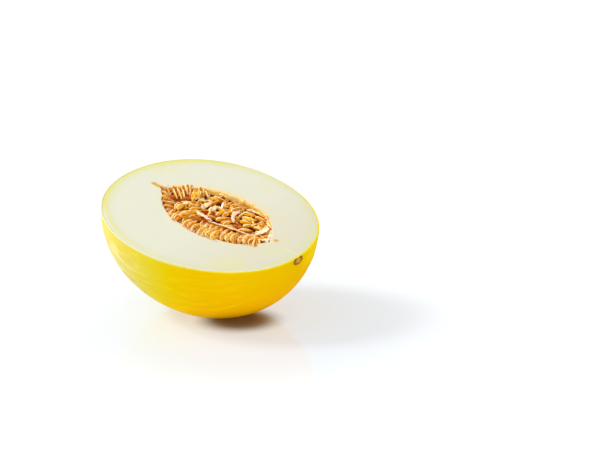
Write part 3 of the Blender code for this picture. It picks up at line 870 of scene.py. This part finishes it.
def uneven(points):
    """How far the cavity's mouth strays from its smooth line, where seeds left their marks in it."""
    x, y = points[:, 0], points[:, 1]
    strays = np.clip(bumpy(points, MOUTH_LAYERS), *MOUTH_LIMITS)
    swell = NEAR_SWELL * np.exp(-(((x - NEAR_SWELL_PLACE) / NEAR_SWELL_REACH) ** 2)) * (y < 0)
    return np.where(x < CHANNEL_START, CHANNEL_WIDENING, strays - swell)


def make_flesh():
    """From its bottom up to the rim, over the cut face and down the cavity's wall."""
    depth = RIND_THICKNESS + FLESH_GAP
    bottom = settle(points_along(DOWN, reach(DOWN, inside_fruit) - depth))
    rings = [bottom + lift_inside(math.pi / 2)]
    for dip in np.radians(np.concatenate([np.linspace(90, 6, 22)[1:], (3.5, 1.5)])):
        rings.append(ring_inside(dip, depth))
    outside = sum(len(ring) for ring in rings)
    rim = reach(LEVEL, inside_fruit) - depth
    mouth = reach(LEVEL, inside_cavity)
    mouth = mouth + uneven(points_along(LEVEL, mouth))
    across = rim - mouth - MOUTH_ROUNDING
    from_mouth = []
    shares = np.concatenate([(0.0, 0.004, 0.015), np.linspace(0.04, 0.96, 40), (0.985, 1.0)])
    for share in shares:
        points = points_along(LEVEL, rim - across * share)
        points[:, 2] += cut_relief(points)
        rings.append(points)
        from_mouth.append(across * (1 - share))
    for bend in np.radians((30, 60, 90)):
        points = points_along(LEVEL, mouth + MOUTH_ROUNDING * (1 - math.sin(bend)))
        points[:, 2] -= MOUTH_ROUNDING * (1 - math.cos(bend))
        rings.append(points)
    strays = uneven(points_along(LEVEL, mouth))
    for dip in np.radians(np.concatenate([np.linspace(3, 30, 16), np.linspace(36, 90, 12)[:-1]])):
        directions = ray_directions(TURNS, dip)
        wall = reach(directions, inside_cavity) + strays * max(0.0, math.cos(dip) - 0.3)
        rings.append(points_along(directions, wall))
    rings.append(points_along(DOWN, reach(DOWN, inside_cavity)))
    points, faces = wrap(rings)
    face = np.concatenate(from_mouth)
    distance = np.zeros(len(points))
    distance[:outside] = FRUIT_RADIUS
    distance[outside : outside + len(face)] = face
    attributes = {"from_mouth": distance}
    add_piece("flesh", points, faces, flesh_finish(), ["melon_half"], attributes)


def scar_height(radius):
    """A ring round a shallow pit."""
    ring = SCAR_RING_RISE * np.exp(-(((radius - SCAR_RING_RADIUS) / SCAR_RING_WIDTH) ** 2))
    return ring - SCAR_PIT_DEPTH * np.exp(-((radius / SCAR_PIT_RADIUS) ** 2))


def on_stem_end(radius, turns):
    """x, y and z of a ring on the fruit's end, as low for its width as the scar."""
    y = radius * np.cos(turns)
    z = radius * np.sin(turns) * SCAR_HEIGHT_SHARE
    return FRUIT_HALF_LENGTH - 0.5 * (y**2 + z**2) / STEM_END_CURVE, y, z


def make_scar():
    """A corky disc on the stem end, whose top the cut has taken off."""
    turns = np.linspace(0, 2 * math.pi, 72, endpoint=False)
    up = np.maximum(np.sin(turns), 1e-6)
    to_cut = (CUT_HEIGHT - SCAR_CUT_GAP) / up / SCAR_HEIGHT_SHARE
    widest = np.minimum(SCAR_RADIUS * (1 + 0.05 * np.sin(3 * turns + 1)), to_cut)
    rings = []
    for share in np.linspace(0, 1, 20):
        end, y, z = on_stem_end(widest * share, turns)
        cracks = bumpy(np.stack([y, z, 0 * y], axis=1), SCAR_LAYERS)
        x = end + scar_height(widest * share) + SCAR_LIFT + cracks - SCAR_EDGE_DROP * share**8
        rings.append(np.stack([x, y, z], axis=1))
    rings[0] = rings[0][:1]
    for share in (1.0, 0.5, 0.0):
        end, y, z = on_stem_end(widest * share, turns)
        rings.append(np.stack([end - SCAR_BACK, y, z], axis=1))
    rings[-1] = rings[-1][:1]
    points, faces = wrap(rings)
    faces = [tuple(reversed(face)) for face in faces]
    add_piece("stem_scar", points, faces, scar_finish(), ["melon_half"])


def pulp_top(x, y):
    """Height of the pulp, with the trough along its middle and lumps where the seeds were."""
    hollow = 1 - (x - CAVITY_WIDEST) ** 2 / TROUGH.x**2 - (y - CAVITY_AXIS.y) ** 2 / TROUGH.y**2
    trough = TROUGH.z * np.sqrt(np.clip(hollow, 0.0, None))
    lumps = bumpy(np.stack([x, y, 0 * x], axis=1), PULP_LAYERS)
    return CUT_HEIGHT - PULP_DROP - math.tan(PULP_TILT) * y - trough + lumps


def make_pulp():
    """The core under the seeds, which climbs a little where it meets the cavity's wall."""
    turns = np.linspace(-math.pi, math.pi, 240, endpoint=False)
    level = ray_directions(turns, 0.0)
    mouth = reach(level, inside_cavity) + PULP_OVERLAP
    rings = [points_along(DOWN, reach(DOWN, inside_cavity) + PULP_OVERLAP)]
    for dip in np.radians(np.linspace(90, 20, 10)[1:]):
        directions = ray_directions(turns, dip)
        rings.append(points_along(directions, reach(directions, inside_cavity) + PULP_OVERLAP))
    for share in np.concatenate([np.linspace(1, 0.9, 8), np.linspace(0.88, 0.02, 48)]):
        points = points_along(level, mouth * share)
        climb = PULP_CLIMB * np.exp(-(mouth * (1 - share)) / PULP_CLIMB_WIDTH)
        points[:, 2] = pulp_top(points[:, 0], points[:, 1]) + climb
        rings.append(points)
    centre = MIDDLE[None, :].copy()
    centre[:, 2] = pulp_top(centre[:, 0], centre[:, 1])
    rings.append(centre)
    points, faces = wrap(rings)
    add_piece("pulp", points, faces, pulp_finish(), ["seed_mass"])


def seed_shape():
    """Points, faces, and place along and across, of one seed that lies flat with its point at +X."""
    turns = np.linspace(0, 2 * math.pi, 14, endpoint=False)
    rings = []
    for station in -np.cos(np.linspace(0, math.pi, 15)):
        roundness = 2.0 if station > 0 else 2.7
        full = max(0.0, 1 - abs(station) ** roundness) ** (1 / roundness)
        wide = SEED.y / 2 * full * (1 - SEED_POINT * (station + 0.3))
        wide *= 1 - 0.12 * max(0.0, station) ** 2
        thick = SEED.z / 2 * full**0.8
        y = wide * np.sign(np.cos(turns)) * np.abs(np.cos(turns)) ** 0.85
        z = thick * np.sign(np.sin(turns)) * np.abs(np.sin(turns)) ** 1.15
        rings.append(np.stack([np.full(len(turns), station * SEED.x / 2), y, z], axis=1))
    rings[0] = rings[0][:1]
    rings[-1] = rings[-1][:1]
    points, faces = wrap(rings)
    along = points[:, 0] / (SEED.x / 2)
    half_width = SEED.y / 2 * (1 - SEED_POINT * (along + 0.3))
    half_width *= np.sqrt(np.clip(1.02 - along**2, 0.05, 1))
    return points, faces, {"along": along, "across": points[:, 1] / half_width}


def lifted(roll):
    """Stands a seed further up on its edge, as the crowded ones do. The roll is in degrees."""
    return math.copysign(min(abs(roll) * 1.15 + 5, 88), roll)


def place_seed(middle, length, heading, lift, roll):
    """Matrix of a seed with its middle at a place in the fruit's frame, and angles in degrees."""
    turn = Euler((math.radians(roll), -math.radians(lift), math.radians(heading))).to_matrix()
    stretch = length / SEED.x
    return Matrix.LocRotScale(middle, turn, Vector((stretch, WIDTH_SHARE * stretch, WIDTH_SHARE)))


def fan_tone(tone, x):
    """Darkens the seeds that fan out at the blossom end."""
    return tone * (FAN_TONE_SHARE if x < FAN_END else 1.0)


def listed_seeds(rows):
    """Matrices and tones of the listed seeds. A seed on edge sinks until its upper edge is in place."""
    placed = []
    for x, y, depth, length, heading, lift, roll, tone in rows:
        sunk = depth / 1000 + SINK * SEED.y / 2 * abs(math.sin(math.radians(roll)))
        middle = Vector((x / 1000, y / 1000, CUT_HEIGHT - sunk))
        placed.append((place_seed(middle, length / 1000, heading, lift, lifted(roll)), tone))
    return placed


def under_seeds(draw):
    """A layer below, on a loose grid, whose headings turn from one wall to the other."""
    placed = []
    for grid_x in np.arange(*UNDER_GRID[0], UNDER_PITCH):
        for grid_y in np.arange(*UNDER_GRID[1], UNDER_PITCH):
            x = grid_x + draw.uniform(-UNDER_SHIFT, UNDER_SHIFT)
            y = grid_y + draw.uniform(-UNDER_SHIFT, UNDER_SHIFT)
            share = (y - CAVITY_AXIS.y) / (float(cavity_radius(x)) + 1e-6)
            heading = 35 - 85 * share + draw.uniform(-38, 38)
            lift = draw.uniform(-14, 14)
            roll = draw.uniform(15, 85)
            depth = draw.uniform(*UNDER_DEPTH) - 0.0012 * share**2
            length = SEED.x * draw.uniform(0.88, 1.05)
            # Tones differ at random, but only dark ones, as painted shade under the top layer
            tone = fan_tone(draw.uniform(0.0, 0.5), x)
            if abs(share) < 0.86:
                middle = Vector((x, y, CUT_HEIGHT - depth))
                placed.append((place_seed(middle, length, heading, lift, roll), tone))
    return placed


def between_seeds(draw):
    """Thin seeds on edge that fill the gaps of the top layer from below."""
    placed = []
    while len(placed) < BETWEEN_SEEDS:
        x = draw.uniform(-0.046, 0.053)
        share = draw.uniform(-0.92, 0.92)
        y = CAVITY_AXIS.y + share * float(cavity_radius(x))
        heading = 40 - 85 * share + draw.uniform(-30, 30)
        roll = draw.uniform(58, 88) * (1 if share < 0.35 else -1)
        middle = Vector((x, y, CUT_HEIGHT - draw.uniform(*BETWEEN_DEPTH)))
        length = SEED.x * draw.uniform(0.72, 0.95)
        lift = draw.uniform(-16, 12)
        tone = fan_tone(draw.uniform(0.15, 0.9), x)
        placed.append((place_seed(middle, length, heading, lift, roll), tone))
    return placed


def make_seeds():
    draw = random.Random(RANDOM_SEED)
    finish = seed_finish()
    add_seeds("seeds_top", listed_seeds(TOP_SEEDS), draw, finish)
    add_seeds("seeds_under", under_seeds(draw), draw, finish)
    add_seeds("seeds_between", between_seeds(draw) + listed_seeds(WALL_SEEDS), draw, finish)


def add_seeds(name, places, draw, finish):
    """One piece of all these seeds, each bent in its own way."""
    shape, shape_faces, marks = seed_shape()
    points, faces, tones, upwards = [], [], [], []
    for number, (place, tone) in enumerate(places):
        own = shape.copy()
        own[:, 1] += draw.uniform(-SEED_BEND, SEED_BEND) * own[:, 0] ** 2
        own[:, 2] += draw.uniform(-SEED_BEND, SEED_BEND) * own[:, 0] ** 2
        own = own @ np.array(place.to_3x3()).T + np.array(place.translation)
        first = number * len(shape)
        points.append(own)
        faces += [tuple(first + corner for corner in face) for face in shape_faces]
        tones.append(np.full(len(shape), tone))
        upwards.append(math.copysign(1.0, place.to_3x3()[2][1]) * marks["across"])
    attributes = {key: np.tile(values, len(places)) for key, values in marks.items()}
    attributes["tone"] = np.concatenate(tones)
    attributes["upwards"] = np.concatenate(upwards)
    add_piece(name, np.concatenate(points), faces, finish, ["seed_mass"], attributes)


def ribbon(path, width, thickness, turn, waves, seed):
    """Points and faces of a thin skin along a path, in millimetres, with wavy edges."""
    places = np.array(path, dtype=float)
    places[:, 2] *= -1
    distance = np.concatenate([[0.0], np.cumsum(np.linalg.norm(np.diff(places, axis=0), axis=1))])
    along = np.linspace(0.0, distance[-1], int(distance[-1] / SKIN_STEP) + 6)
    centre = np.stack([np.interp(along, distance, places[:, i]) for i in range(3)], axis=1)
    for _ in range(6):
        centre[1:-1] = (centre[:-2] + 2 * centre[1:-1] + centre[2:]) / 4
    forward = np.gradient(centre, axis=0)
    forward /= np.linalg.norm(forward, axis=1)[:, None]
    side = np.cross(forward, (0.0, 0.0, 1.0))
    side /= np.linalg.norm(side, axis=1)[:, None]
    over = np.cross(side, forward)
    tilt = math.radians(turn)
    across = side * math.cos(tilt) + over * math.sin(tilt)
    through = over * math.cos(tilt) - side * math.sin(tilt)
    taper = np.sin(np.pi * np.linspace(0.0, 1.0, len(along))) ** 0.45
    turns = np.linspace(0, 2 * math.pi, 16, endpoint=False)
    rings = []
    for i in range(len(along)):
        sway = waves * noise.noise(Vector((along[i] / SKIN_SWAY_LENGTH, seed, 0.0)))
        swell = noise.noise(Vector((along[i] / SKIN_EDGE_LENGTH, seed, 5.0)))
        wide = width / 2 * taper[i] * (1 + 0.7 * swell)
        thick = thickness / 2 * (0.25 + 0.75 * taper[i])
        ring = centre[i] + sway * through[i]
        ring = ring + np.outer(np.cos(turns) * wide, across[i])
        ripple = 0.15 * thickness * np.cos(2 * turns + along[i] * 1.3)
        ring = ring + np.outer(np.sin(turns) * thick + ripple * taper[i], through[i])
        rings.append(ring)
    rings[0] = rings[0].mean(axis=0)[None, :]
    rings[-1] = rings[-1].mean(axis=0)[None, :]
    points, faces = wrap(rings)
    return points / 1000 + (0.0, 0.0, CUT_HEIGHT), faces


def join(shapes):
    """One list of points and one of faces, from several shapes."""
    points, faces = [], []
    first = 0
    for own, own_faces in shapes:
        points.append(own)
        faces += [tuple(first + corner for corner in face) for face in own_faces]
        first += len(own)
    return np.concatenate(points), faces


def make_skins():
    """The whitish skins between the seeds: a long ridge, upright sheets and a flap at the stem end."""
    skins = [ribbon(*skin, number * 3.7) for number, skin in enumerate(SKINS)]
    points, faces = join(skins)
    add_piece("pulp_skins", points, faces, film_finish(), ["seed_mass"])


def make_strands():
    """Fine fibres that run from the walls into the seeds."""
    draw = random.Random(RANDOM_SEED + 1)
    strands = []
    for number in range(STRANDS):
        x = draw.uniform(-0.044, 0.052)
        side = draw.choice((-1, 1))
        wall = float(cavity_radius(x)) - STRAND_START
        start = Vector((x, CAVITY_AXIS.y + side * wall, 0.0)) * 1000
        inwards = draw.uniform(*STRAND_REACH)
        end = start + Vector((draw.uniform(-5, 5), -side * inwards, 0.0))
        middle = (start + end) / 2 + Vector((draw.uniform(-1.5, 1.5), 0.0, 0.0))
        depths = (draw.uniform(0.2, 1.6), draw.uniform(0.6, 2.0), draw.uniform(1.6, 3.6))
        path = [(*place.xy, depth) for place, depth in zip((start, middle, end), depths)]
        width = draw.uniform(*STRAND_WIDTH)
        strands.append(ribbon(path, width, STRAND_THICKNESS, 0, 0.5, 40 + number))
    points, faces = join(strands)
    add_piece("strands", points, faces, strand_finish(), ["seed_mass"])


def make_stage():
    """A white floor in a bright room, two soft lights and the camera."""
    half = FLOOR_HALF_WIDTH
    corners = [(-half, -half, 0), (half, -half, 0), (half, half, 0), (-half, half, 0)]
    mesh = bpy.data.meshes.new("floor")
    mesh.from_pydata(corners, [], [(0, 1, 2, 3)])
    mesh.materials.append(floor_finish())
    floor = bpy.data.objects.new("floor", mesh)
    bpy.context.scene.collection.objects.link(floor)

    bpy.context.scene.world = studio_world()
    add_soft_light("key", *KEY_LIGHT)
    add_soft_light("fill", *FILL_LIGHT)

    camera = bpy.data.cameras.new("camera")
    camera.lens = CAMERA_LENS
    camera.sensor_width = 36.0
    camera.clip_start = 0.01
    camera.clip_end = 50.0
    placed = bpy.data.objects.new("camera", camera)
    placed.location = CAMERA_PLACE
    placed.rotation_euler = CAMERA_LOOK.to_track_quat("-Z", "Y").to_euler()
    bpy.context.scene.collection.objects.link(placed)
    bpy.context.scene.camera = placed
    bpy.context.scene.view_settings.view_transform = "Standard"


def floor_finish():
    """White, with a painted shadow round the place that the fruit rests on: a darker colour and less
    glow there.
    """
    finish = Finish("white floor", Roughness=0.10, Specular_IOR_Level=0.18, Emission_Strength=1.0)
    x, y, z = finish.axes()
    spot = upright(np.array((FLOOR_PAINTED_SHADOW_PLACE,)))[0]
    away = ((x - spot[0]) ** 2 + (y - spot[1]) ** 2 + (z - spot[2]) ** 2) ** 0.5
    glow = finish.ease(away, 0.016, 0.037) * FLOOR_GLOW[0]
    glow = glow + finish.ease(away, 0.090, 0.180) * FLOOR_GLOW[1]
    finish.set(
        Base_Color=finish.blend(finish.ease(away, 0.008, 0.028), FLOOR_PAINTED_SHADOW, FLOOR_WHITE),
        Emission_Color=finish.node("ShaderNodeCombineXYZ", {0: glow, 1: glow, 2: glow}),
    )
    return finish.material


def studio_world():
    """White all round, brighter on the side that the light comes from."""
    world = bpy.data.worlds.new("studio")
    world.use_nodes = True
    room = Nodes(world.node_tree)
    direction = room.node("ShaderNodeTexCoord", {}, output="Generated")
    sides = {0: direction, 1: LIGHT_SIDE.normalized()}
    facing = room.node("ShaderNodeVectorMath", sides, output="Value", operation="DOT_PRODUCT")
    sockets = {
        "Value": facing,
        "From Min": -0.9,
        "From Max": 0.9,
        "To Min": WORLD_STRENGTH[0],
        "To Max": WORLD_STRENGTH[1],
    }
    strength = room.node("ShaderNodeMapRange", sockets, interpolation_type="SMOOTHSTEP")
    background = world.node_tree.nodes["Background"]
    room.join(background.inputs["Color"], (1.0, 1.0, 1.0, 1.0))
    room.join(background.inputs["Strength"], strength)
    return world


def add_soft_light(name, place, size, watts):
    lamp = bpy.data.lights.new(name, "AREA")
    lamp.shape = "DISK"
    lamp.size = size
    lamp.energy = watts
    light = bpy.data.objects.new(name, lamp)
    light.location = place
    light.rotation_euler = (LIGHTS_AIM - place).to_track_quat("-Z", "Y").to_euler()
    bpy.context.scene.collection.objects.link(light)


make_rind()
make_flesh()
make_scar()
make_pulp()
make_seeds()
make_skins()
make_strands()
make_stage()
